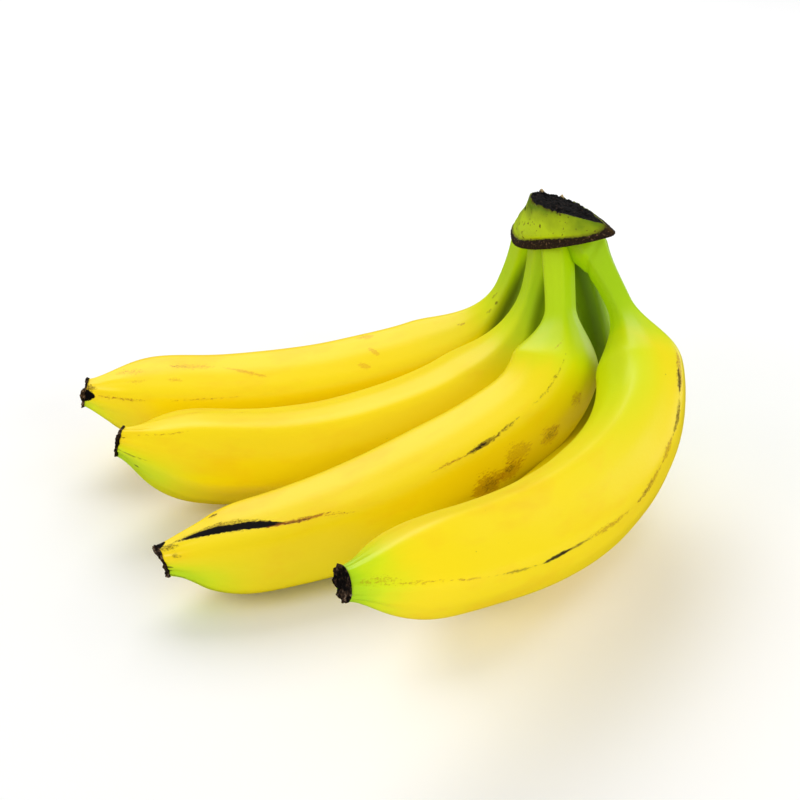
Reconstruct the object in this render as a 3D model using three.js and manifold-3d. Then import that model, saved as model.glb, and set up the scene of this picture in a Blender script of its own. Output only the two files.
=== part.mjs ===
// A hand of five bananas lying on their rounded undersides, joined by one cut crown.
// Millimetres, +Z up. The origin is on the floor under the middle of the bunch.
import * as THREE from 'three';
import * as BufferGeometryUtils from 'three/addons/utils/BufferGeometryUtils.js';
import Module from 'manifold-3d';

const wasm = await Module();
wasm.setup();

// Driving dimensions, in millimetres and degrees.
const contactGap = 0.3;
const sidesRound = 20;
const stepsAlong = 44;

// Shape shared by all five bananas.
const tipRadius = 5.6;
const tipTrim = 3;
const tipFullness = 2.1;
const neckFlareLength = 6;
const neckExtension = 18;
const scarReach = 14;
const ridgeCount = 5;
const ridgeHeight = 0.035;
const ridgeSharpness = 0.25;
const shoulderStart = 0.08;
const bulgeFrom = 0.2;
const bulgeTo = 0.9;

// Dried flower end on each tip.
const blossomRadius = 5.9;

// Each banana runs from its root at the crown down to the floor and out to its tip.
// heading is the compass direction of its plane, counted from +X, and lean tips that plane over.
// startPitch is the slope of the neck: -90 points straight down. The shoulder and the body
// then bend it up, sideBend and twist turn it sideways and about its own length.
// The dried flower end is scarLength long. It is set askew: scarSlope says how much, and
// scarTurn in which direction.
const bananas = [
  {
    name: 'banana_1', root: [41.5, 106.7, 80.7], heading: 197.5, lean: 17.5, startPitch: -83.5,
    shoulderBend: 53, shoulderEnd: 0.41, bodyBend: 53.5, bendShift: -0.04, sideBend: -1.5,
    length: 215, radius: 17.5, bulge: 0.5, neckRadius: 6.4, neckFlare: 0.7, neckLength: 26,
    shoulderLength: 51, ridgeTurn: 40, twist: 0, tipLength: 49, scarSlope: -0.2, scarTurn: -132,
    scarLength: 2.6,
  },
  {
    name: 'banana_2', root: [46.6, 93.5, 83.8], heading: 203, lean: 1.5, startPitch: -81,
    shoulderBend: 46.5, shoulderEnd: 0.4, bodyBend: 62.5, bendShift: -0.12, sideBend: -5.5,
    length: 210, radius: 17.8, bulge: 0, neckRadius: 6.4, neckFlare: 1.1, neckLength: 17,
    shoulderLength: 53, ridgeTurn: 26, twist: 0, tipLength: 49, scarSlope: -0.2, scarTurn: -114,
    scarLength: 2,
  },
  {
    name: 'banana_3', root: [50, 80, 81.4], heading: 203, lean: -34, startPitch: -81.5,
    shoulderBend: 44, shoulderEnd: 0.35, bodyBend: 45.5, bendShift: -0.02, sideBend: 2.5,
    length: 208, radius: 16.7, bulge: 2.4, neckRadius: 6.1, neckFlare: 0.2, neckLength: 15.5,
    shoulderLength: 24, ridgeTurn: 82, twist: 0, tipLength: 49, scarSlope: -0.2, scarTurn: -89,
    scarLength: 3,
  },
  {
    name: 'banana_4', root: [62.1, 79.9, 87.1], heading: 242.5, lean: -36.5, startPitch: -78.5,
    shoulderBend: 30, shoulderEnd: 0.36, bodyBend: 74, bendShift: 0.46, sideBend: -8.5,
    length: 249, radius: 16.1, bulge: 1.8, neckRadius: 5, neckFlare: 2.6, neckLength: 22,
    shoulderLength: 30, ridgeTurn: 105, twist: 40, tipLength: 58, scarSlope: -0.3, scarTurn: -82,
    scarLength: 2.8,
  },
  {
    name: 'banana_5', root: [58.8, 89.5, 78.3], heading: 236.5, lean: -28, startPitch: -82,
    shoulderBend: 56, shoulderEnd: 0.55, bodyBend: 60.5, bendShift: -0.28, sideBend: 2.5,
    length: 194, radius: 16.3, bulge: -0.4, neckRadius: 6.3, neckFlare: 0.8, neckLength: 32,
    shoulderLength: 61, ridgeTurn: 60, twist: 0, tipLength: 49, scarSlope: 0, scarTurn: 0,
    scarLength: 1.8,
  },
];

// Crown: a wedge between an oval underside, where the necks end, and an oval cut on top.
// backShare is how deep the hidden back half of an oval is, as a share of the front half.
const crownUnderside = {
  centre: [52.6, 87.4, 93.1], longHalf: [15.4, -25, 8.6], shortHalf: [10.6, 8, 5.2], taper: 0.4,
  backShare: 0.72,
};
const crownCut = {
  centre: [54.2, 79.5, 104.2], longHalf: [13, -17.5, -0.2], shortHalf: [6.4, 5.1, -1.6], taper: 0.6,
  backShare: 1,
};
const crownSides = 36;
const crownPointing = 1.3;

// Blocks that trim the necks at the crown and the undersides at the floor, larger than both.
const cutterSize = 120;
const floorSize = 1000;
const weldDistance = 1e-4;

// Colours of the ripe skin, the green crown and the dried flower ends.
const skin = { color: '#f2d21b', roughness: 0.45, metalness: 0 };
const crownSkin = { color: '#8fae1a', roughness: 0.6, metalness: 0 };
const driedFlower = { color: '#3a2a1e', roughness: 0.9, metalness: 0 };

const radians = THREE.MathUtils.degToRad;
const smooth = (t) => THREE.MathUtils.smoothstep(t, 0, 1);

// Radius of a banana at distance s from its root, before the ridges are added.
function radiusAt(b, s) {
  const shoulder = smooth((s - b.neckLength) / b.shoulderLength);
  const tipPart = Math.min(Math.max((s - (b.length - b.tipLength)) / b.tipLength, 0), 1);
  const middle = Math.min(Math.max((s / b.length - bulgeFrom) / (bulgeTo - bulgeFrom), 0), 1);
  return b.neckRadius + (b.radius - b.neckRadius) * shoulder
    - (b.radius - tipRadius) * smooth(tipPart ** tipFullness)
    + b.neckFlare * Math.exp(-Math.max(s, 0) / neckFlareLength)
    + b.bulge * Math.sin(Math.PI * middle) ** 2;
}

// Direction of a banana at u, 0 at the root and 1 at the tip, with its inner and side directions.
function frameAt(b, u) {
  const heading = radians(b.heading);
  const lean = radians(b.lean);
  const ahead = new THREE.Vector3(Math.cos(heading), Math.sin(heading), 0);
  const level = new THREE.Vector3(-Math.sin(heading), Math.cos(heading), 0);
  const rise = level.clone().multiplyScalar(Math.sin(lean));
  rise.z += Math.cos(lean);
  const across = level.clone().multiplyScalar(Math.cos(lean));
  across.z -= Math.sin(lean);
  const v = Math.max(u, 0);
  const shoulder = smooth((v - shoulderStart) / (b.shoulderEnd - shoulderStart));
  const body = v + b.bendShift * 2 * v * (1 - v);
  const pitch = radians(b.startPitch + b.shoulderBend * shoulder + b.bodyBend * body);
  const yaw = radians(b.sideBend * (2 * v - 1));
  const along = ahead.clone().multiplyScalar(Math.cos(yaw) * Math.cos(pitch))
    .addScaledVector(rise, Math.cos(yaw) * Math.sin(pitch))
    .addScaledVector(across, Math.sin(yaw));
  const inner = ahead.clone().multiplyScalar(-Math.sin(pitch))
    .addScaledVector(rise, Math.cos(pitch));
  const side = new THREE.Vector3().crossVectors(inner, along);
  return { along, inner, side };
}

// Centre line as points from the extended neck to the tip, summed up in short steps.
function centreLine(b) {
  const stepLength = (b.length - tipTrim + neckExtension) / stepsAlong;
  const first = frameAt(b, 0).along;
  const point = new THREE.Vector3(...b.root).addScaledVector(first, -neckExtension);
  const line = [];
  for (let i = 0; i <= stepsAlong; i += 1) {
    const s = i * stepLength - neckExtension;
    line.push({ s, point: point.clone(), ...frameAt(b, s / b.length) });
    point.addScaledVector(frameAt(b, (s + stepLength / 2) / b.length).along, stepLength);
  }
  return line;
}

// Height of the soft ridges round a banana, at an angle from one of them.
function ridgeAt(angle) {
  return Math.cos(ridgeCount * angle) + ridgeSharpness * Math.cos(2 * ridgeCount * angle);
}

// How far the askew end scar moves a point lengthwise.
function scarShift(b, radius, angle) {
  return b.scarSlope * radius * Math.cos(angle - radians(b.scarTurn));
}

// A straight turned solid, bent along the centre line and given its five soft ridges.
// It can be made thicker all over by grow, which leaves room for a gap round it.
function bananaGeometry(b, grow) {
  const line = centreLine(b);
  const outline = line.map((station, i) => new THREE.Vector2(radiusAt(b, station.s) + grow, i));
  outline.unshift(new THREE.Vector2(0, 0));
  outline.push(new THREE.Vector2(0, stepsAlong));
  const geometry = new THREE.LatheGeometry(outline, sidesRound);
  const position = geometry.attributes.position;
  const v = new THREE.Vector3();
  for (let i = 0; i < position.count; i += 1) {
    v.fromBufferAttribute(position, i);
    const station = line[Math.round(v.y)];
    const fromRidge = -Math.atan2(v.x, v.z);
    const turn = radians(b.ridgeTurn + b.twist * (station.s / b.length - 0.5));
    const angle = fromRidge + turn;
    const radius = Math.hypot(v.x, v.z) * (1 + ridgeHeight * ridgeAt(fromRidge));
    const scarShare = smooth((station.s - (b.length - tipTrim - scarReach)) / scarReach);
    v.copy(station.point)
      .addScaledVector(station.inner, radius * Math.cos(angle))
      .addScaledVector(station.side, radius * Math.sin(angle))
      .addScaledVector(station.along, scarShare * scarShift(b, radius, angle));
    position.setXYZ(i, v.x, v.y, v.z);
  }
  return welded(geometry);
}

// A point on a tapered ring with pointed ends, at an angle round it and a share of its size.
function ovalPoint(oval, angle, share) {
  const depth = Math.sin(angle) > 0 ? oval.backShare : 1;
  const width = (1 - oval.taper * Math.cos(angle)) * depth
    * Math.abs(Math.sin(angle)) ** (crownPointing - 1);
  return new THREE.Vector3(...oval.centre)
    .addScaledVector(new THREE.Vector3(...oval.longHalf), share * Math.cos(angle))
    .addScaledVector(new THREE.Vector3(...oval.shortHalf), share * width * Math.sin(angle));
}

// The crown: a turned outline of share of size against height, laid between its two ovals.
function crownGeometry() {
  const outline = [
    [0, 0], [0.6, 0], [0.97, 0], [1, 0.05], [1.01, 0.14],
    [1, 0.2], [1, 0.25], [1.04, 0.34], [1.03, 0.46], [1, 0.65], [0.98, 0.85],
    [0.98, 0.96], [0.94, 1], [0.6, 1], [0, 1],
  ].map(([share, height]) => new THREE.Vector2(share, height));
  const geometry = new THREE.LatheGeometry(outline, crownSides);
  const position = geometry.attributes.position;
  const v = new THREE.Vector3();
  for (let i = 0; i < position.count; i += 1) {
    v.fromBufferAttribute(position, i);
    const angle = Math.atan2(v.x, v.z);
    const share = Math.hypot(v.x, v.z);
    const low = ovalPoint(crownUnderside, angle, share);
    const high = ovalPoint(crownCut, angle, share);
    const place = low.lerp(high, v.y);
    position.setXYZ(i, place.x, place.y, place.z);
  }
  return welded(geometry);
}

// The dried flower end: a short rough-rimmed stub past the tip of the skin.
function blossomGeometry(b) {
  const tip = centreLine(b)[stepsAlong];
  const outline = [
    [0, 0], [0.93, 0], [1, 0.2], [0.98, 0.7], [0.84, 1], [0.5, 0.8], [0, 0.75],
  ].map(([share, height]) => new THREE.Vector2(share * blossomRadius, height * b.scarLength));
  const geometry = new THREE.LatheGeometry(outline, sidesRound);
  const position = geometry.attributes.position;
  const v = new THREE.Vector3();
  for (let i = 0; i < position.count; i += 1) {
    v.fromBufferAttribute(position, i);
    const angle = -Math.atan2(v.x, v.z);
    const radius = Math.hypot(v.x, v.z);
    const ahead = contactGap + v.y + scarShift(b, radius, angle);
    v.copy(tip.point)
      .addScaledVector(tip.along, ahead)
      .addScaledVector(tip.inner, radius * Math.cos(angle))
      .addScaledVector(tip.side, radius * Math.sin(angle));
    position.setXYZ(i, v.x, v.y, v.z);
  }
  return welded(geometry);
}

// Shared corners become one corner, so that the surface is closed.
function welded(geometry) {
  geometry.deleteAttribute('normal');
  geometry.deleteAttribute('uv');
  const closed = BufferGeometryUtils.mergeVertices(geometry, weldDistance);
  closed.computeVertexNormals();
  return closed;
}

function toSolid(geometry) {
  return new wasm.Manifold(new wasm.Mesh({
    numProp: 3,
    vertProperties: new Float32Array(geometry.attributes.position.array),
    triVerts: new Uint32Array(geometry.index.array),
  }));
}

function toGeometry(solid) {
  const mesh = solid.getMesh();
  const geometry = new THREE.BufferGeometry();
  geometry.setAttribute('position', new THREE.BufferAttribute(mesh.vertProperties, 3));
  geometry.setIndex(new THREE.BufferAttribute(mesh.triVerts, 1));
  geometry.computeVertexNormals();
  return geometry;
}

// Everything above the crown's underside, less the gap, is cut off the necks.
function neckCutter() {
  const x = new THREE.Vector3(...crownUnderside.longHalf).normalize();
  const y = new THREE.Vector3(...crownUnderside.shortHalf);
  const z = new THREE.Vector3().crossVectors(x, y).normalize();
  y.crossVectors(z, x);
  const centre = new THREE.Vector3(...crownUnderside.centre)
    .addScaledVector(z, cutterSize / 2 - contactGap);
  const block = new THREE.BoxGeometry(cutterSize, cutterSize, cutterSize);
  block.applyMatrix4(new THREE.Matrix4().makeBasis(x, y, z).setPosition(centre));
  return toSolid(welded(block));
}

// Everything under the floor is cut off, which leaves the small flat spots that the bunch rests on.
function floorCutter() {
  const block = new THREE.BoxGeometry(floorSize, floorSize, cutterSize);
  block.translate(0, 0, -cutterSize / 2);
  return toSolid(welded(block));
}

function piece(name, geometry, finish) {
  const mesh = new THREE.Mesh(geometry, new THREE.MeshStandardMaterial(finish));
  mesh.name = name;
  return mesh;
}

// The front necks stay whole, and those behind give way to them where they press together.
const bunch = new THREE.Group();
const necksAbove = neckCutter();
const underFloor = floorCutter();
const frontToBack = ['banana_3', 'banana_4', 'banana_2', 'banana_1', 'banana_5'];
const taken = [];
for (const name of frontToBack) {
  const b = bananas.find((banana) => banana.name === name);
  let solid = toSolid(bananaGeometry(b, 0)).subtract(necksAbove).subtract(underFloor);
  for (const neighbour of taken) {
    solid = solid.subtract(neighbour);
  }
  taken.push(toSolid(bananaGeometry(b, contactGap)));
  bunch.add(piece(b.name, toGeometry(solid), skin));
  bunch.add(piece(b.name.replace('banana', 'blossom_end'), blossomGeometry(b), driedFlower));
}
bunch.add(piece('crown', crownGeometry(), crownSkin));

// The middle of the bunch's box is set over the origin.
const box = new THREE.Box3().setFromObject(bunch);
const middle = box.getCenter(new THREE.Vector3());
bunch.position.set(-middle.x, -middle.y, 0);

export default bunch;
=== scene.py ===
# A bunch of ripe bananas on a pale table, seen from above and in front.
# Lengths in the dictionaries are millimetres and angles are degrees, unless a note says otherwise.
import math

import bmesh
import bpy
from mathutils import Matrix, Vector, noise


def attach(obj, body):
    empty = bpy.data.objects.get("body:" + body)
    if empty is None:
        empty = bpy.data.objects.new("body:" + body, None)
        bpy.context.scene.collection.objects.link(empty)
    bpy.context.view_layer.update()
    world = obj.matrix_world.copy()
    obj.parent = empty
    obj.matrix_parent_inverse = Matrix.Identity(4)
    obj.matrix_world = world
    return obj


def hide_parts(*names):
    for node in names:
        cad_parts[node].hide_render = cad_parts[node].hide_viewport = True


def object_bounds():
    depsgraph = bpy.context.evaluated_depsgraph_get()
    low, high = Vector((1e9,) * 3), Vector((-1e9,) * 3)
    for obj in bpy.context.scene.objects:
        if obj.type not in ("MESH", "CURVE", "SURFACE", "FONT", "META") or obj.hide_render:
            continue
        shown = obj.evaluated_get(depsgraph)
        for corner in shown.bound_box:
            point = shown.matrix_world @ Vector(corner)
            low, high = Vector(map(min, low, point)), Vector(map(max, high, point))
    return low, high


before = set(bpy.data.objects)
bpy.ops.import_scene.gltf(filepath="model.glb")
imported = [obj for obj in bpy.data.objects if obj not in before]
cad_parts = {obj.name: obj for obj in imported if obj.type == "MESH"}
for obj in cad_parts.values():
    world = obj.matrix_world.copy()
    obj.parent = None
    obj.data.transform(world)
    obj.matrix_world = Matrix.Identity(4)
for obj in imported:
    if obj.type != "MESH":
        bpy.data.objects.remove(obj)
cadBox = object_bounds()
mm = 0.001

# The middle of the bunch's box is set over the origin, as on the solid model.
bunchShift = Vector((17.652, -6.599, 0))

# Shape that all five bananas share. The skin ends at peelTrim before the full length, and
# shoulderStart, bulgeFrom and bulgeTo are shares of it. ridgeHeight is a share of the radius.
# Seams run along the ridges, swell is the unevenness of the flesh, and creases gather the skin
# over the last creaseReach of the tip. A neck starts at neckTop, above the root, and is cut off
# within neckSpan. cuffWidth is the half width of the fold in a neck.
growth = {
    "tipRadius": 5.6, "tipTrim": 3, "peelTrim": 1.7, "tipFullness": 2.1, "neckFlareLength": 6,
    "scarReach": 14, "ridgeHeight": 0.035, "ridgeSharpness": 0.25, "shoulderStart": 0.08,
    "bulgeFrom": 0.2, "bulgeTo": 0.9, "neckTop": -18, "neckSpan": 25, "ridges": 5,
    "sidesRound": 120, "stepsAlong": 240, "seamHeight": 0.1, "seamWidth": 1.4, "slack": 0.15,
    "swell": 0.3, "swellLength": 22, "creaseHeight": 0.44, "creasePitch": 4.55,
    "creaseDrift": 0.02, "creaseBias": 0.3, "creaseReach": 22, "creaseFade": 20,
    "cuffWidth": 1.1,
}

# Each banana's own shape. heading is the compass direction of its plane and lean tips it over.
# The flower end is scarLength long. It is set more askew than on the plain solid, by scarSlope
# towards scarTurn, so that the skin closes over it on the near side. The neck is cut off
# cutAbove over the crown's underside, hidden in the crown. cuffAt, cuffSlant and cuffDepth
# place the fold in one neck, and one banana has a peelTrim of its own.
bananas = {
    "banana_1": {
        "root": (41.5, 106.7, 80.7), "heading": 197.5, "lean": 17.5, "startPitch": -83.5,
        "shoulderBend": 53, "shoulderEnd": 0.41, "bodyBend": 53.5, "bendShift": -0.04,
        "sideBend": -1.5, "length": 215, "radius": 17.5, "bulge": 0.5, "neckRadius": 6.4,
        "neckFlare": 0.7, "neckLength": 26, "shoulderLength": 51, "ridgeTurn": 40, "twist": 0,
        "tipLength": 49, "scarSlope": -0.5, "scarTurn": -132, "scarLength": 1.1,
        "cutAbove": 3.4,
    },
    "banana_2": {
        "root": (46.6, 93.5, 83.8), "heading": 203, "lean": 1.5, "startPitch": -81,
        "shoulderBend": 46.5, "shoulderEnd": 0.4, "bodyBend": 62.5, "bendShift": -0.12,
        "sideBend": -5.5, "length": 210, "radius": 17.8, "bulge": 0, "neckRadius": 6.4,
        "neckFlare": 1.1, "neckLength": 17, "shoulderLength": 53, "ridgeTurn": 26, "twist": 0,
        "tipLength": 49, "scarSlope": -0.5, "scarTurn": -120, "scarLength": 1.1,
        "cutAbove": 1.5,
    },
    "banana_3": {
        "root": (50, 80, 81.4), "heading": 203, "lean": -34, "startPitch": -81.5,
        "shoulderBend": 44, "shoulderEnd": 0.35, "bodyBend": 45.5, "bendShift": -0.02,
        "sideBend": 2.5, "length": 208, "radius": 16.7, "bulge": 2.4, "neckRadius": 6.1,
        "neckFlare": 0.2, "neckLength": 15.5, "shoulderLength": 24, "ridgeTurn": 82, "twist": 0,
        "tipLength": 49, "scarSlope": 0.42, "scarTurn": 35, "scarLength": 1.2,
        "cutAbove": 1,
    },
    "banana_4": {
        "root": (62.1, 79.9, 87.1), "heading": 242.5, "lean": -36.5, "startPitch": -78.5,
        "shoulderBend": 30, "shoulderEnd": 0.36, "bodyBend": 74, "bendShift": 0.46,
        "sideBend": -8.5, "length": 249, "radius": 16.1, "bulge": 1.8, "neckRadius": 5,
        "neckFlare": 2.6, "neckLength": 22, "shoulderLength": 30, "ridgeTurn": 105, "twist": 40,
        "cuffAt": -2, "cuffSlant": -0.06, "cuffDepth": 0.7,
        "tipLength": 58, "scarSlope": -0.3, "scarTurn": -82, "scarLength": 0.6,
        "cutAbove": 1, "peelTrim": 1.1,
    },
    "banana_5": {
        "root": (58.8, 89.5, 78.3), "heading": 236.5, "lean": -28, "startPitch": -82,
        "shoulderBend": 56, "shoulderEnd": 0.55, "bodyBend": 60.5, "bendShift": -0.28,
        "sideBend": 2.5, "length": 194, "radius": 16.3, "bulge": -0.4, "neckRadius": 6.3,
        "neckFlare": 0.8, "neckLength": 32, "shoulderLength": 61, "ridgeTurn": 60, "twist": 0,
        "tipLength": 49, "scarSlope": 0, "scarTurn": 0, "scarLength": 0.9,
        "cutAbove": 1,
    },
}


def smooth(t):
    t = min(max(t, 0), 1)
    return t * t * (3 - 2 * t)


def rising(value, start, end):
    # 0 up to start, 1 from end on, and smooth in between
    return smooth((value - start) / (end - start))


def bell(t):
    # 1 at 0, and falling off smoothly on both sides
    return math.exp(-(t ** 2))


def radiusAt(b, s):
    # radius at distance s from the root, before the ridges
    shoulder = smooth((s - b["neckLength"]) / b["shoulderLength"])
    tip = min(max((s - (b["length"] - b["tipLength"])) / b["tipLength"], 0), 1)
    span = growth["bulgeTo"] - growth["bulgeFrom"]
    middle = min(max((s / b["length"] - growth["bulgeFrom"]) / span, 0), 1)
    return (
        b["neckRadius"] + (b["radius"] - b["neckRadius"]) * shoulder
        - (b["radius"] - growth["tipRadius"]) * smooth(tip ** growth["tipFullness"])
        + b["neckFlare"] * math.exp(-max(s, 0) / growth["neckFlareLength"])
        + b["bulge"] * math.sin(math.pi * middle) ** 2
    )


def directionsAt(b, u):
    # along, inner and side directions at u, 0 at the root and 1 at the tip
    heading = math.radians(b["heading"])
    lean = math.radians(b["lean"])
    ahead = Vector((math.cos(heading), math.sin(heading), 0))
    level = Vector((-math.sin(heading), math.cos(heading), 0))
    rise = level * math.sin(lean) + Vector((0, 0, math.cos(lean)))
    across = level * math.cos(lean) - Vector((0, 0, math.sin(lean)))
    v = max(u, 0)
    start = growth["shoulderStart"]
    shoulder = smooth((v - start) / (b["shoulderEnd"] - start))
    body = v + b["bendShift"] * 2 * v * (1 - v)
    pitch = math.radians(b["startPitch"] + b["shoulderBend"] * shoulder + b["bodyBend"] * body)
    yaw = math.radians(b["sideBend"] * (2 * v - 1))
    along = (
        ahead * math.cos(yaw) * math.cos(pitch) + rise * math.cos(yaw) * math.sin(pitch)
        + across * math.sin(yaw)
    )
    inner = rise * math.cos(pitch) - ahead * math.sin(pitch)
    return along, inner, inner.cross(along)


def centreLine(b, start, trim, steps):
    # stations from start, a distance before the root, to trim before the full length
    step = (b["length"] - trim - start) / steps
    point = Vector(b["root"]) + directionsAt(b, 0)[0] * start
    line = []
    for i in range(steps + 1):
        s = start + i * step
        line.append({"s": s, "point": point.copy(), "axes": directionsAt(b, s / b["length"])})
        point += directionsAt(b, (s + step / 2) / b["length"])[0] * step
    return line


def ridgeAngle(b, s):
    return math.radians(b["ridgeTurn"] + b["twist"] * (s / b["length"] - 0.5))


def scarShift(b, radius, angle):
    # how far the askew flower end moves a point lengthwise
    return b["scarSlope"] * radius * math.cos(angle - math.radians(b["scarTurn"]))


print("shapes ready")

# Small helpers for meshes and materials.


def finishMesh(bm, name, material, nodes):
    mesh = bpy.data.meshes.new(name)
    bmesh.ops.recalc_face_normals(bm, faces=bm.faces)
    bm.to_mesh(mesh)
    bm.free()
    for polygon in mesh.polygons:
        polygon.use_smooth = True
    piece = bpy.data.objects.new(name, mesh)
    bpy.context.scene.collection.objects.link(piece)
    mesh.materials.append(material)
    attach(piece, "root")
    for node in nodes:
        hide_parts(node)


def linear(colour):
    # an sRGB hex value as linear red, green, blue and alpha
    parts = [int(colour[i:i + 2], 16) / 255 for i in (1, 3, 5)]
    return [p / 12.92 if p <= 0.04045 else ((p + 0.055) / 1.055) ** 2.4 for p in parts] + [1]


def addNode(material, kind, settings=None, inputs=None):
    # adds one node, sets its properties and fills or links its inputs
    tree = material.node_tree
    node = tree.nodes.new(kind)
    for key, value in (settings or {}).items():
        setattr(node, key, value)
    for key, value in (inputs or {}).items():
        if isinstance(value, bpy.types.NodeSocket):
            tree.links.new(value, node.inputs[key])
        else:
            node.inputs[key].default_value = value
    return node


def newMaterial(name):
    material = bpy.data.materials.new(name)
    material.use_nodes = True
    material.node_tree.nodes.clear()
    return material


print("helpers ready")

# Ripe banana skin: a smooth waxy peel, satin and faintly grained, with green left at the
# necks and tips and dry brown scars along its edges. Between quickFrom and quickTo the neck
# loses quickShare of its green, and it loses the rest slowly, from slowFrom on. A freckle sits
# in freckleShare of the cells, and its radius and soft edge are shares of a cell.
peel = {
    "ripe": "#fde100", "turning": "#f2e300", "lime": "#dce800", "unripe": "#bce000",
    "deepGreen": "#a2d000", "ochre": "#f8c400", "freckle": "#3b2a10",
    "roughness": 0.34, "scarRoughness": 0.8, "specular": 0.42, "grain": 0.25,
    "freckleSpacing": 7.5, "freckleShare": 0.22, "freckleRadius": 0.05, "freckleEdge": 0.03,
    "freckleStrength": 0.75, "patchyShine": 0.12, "scarDepth": 0.5,
    "quickFrom": 17.0, "quickTo": 56.0, "quickShare": 0.66, "slowFrom": 10.0,
    "tipSoftness": 0.9, "tipGain": 1.3, "tipPast": 6.0, "sideFade": 150.0, "neckDrift": 14.0,
    "scarLens": 0.6, "scarSoftness": 0.3, "shadeSoftness": 0.5,
}
black = "#0b0709"
brown = "#4e2800"
tan = "#a65a00"
bruise = "#b07000"
amber = "#e29e00"
# painted shade: a dark olive green that stands in for the shadow between the necks
paintedShade = "#4a5c00"
olive = "#8d8a00"
moss = "#7c7c00"
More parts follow.
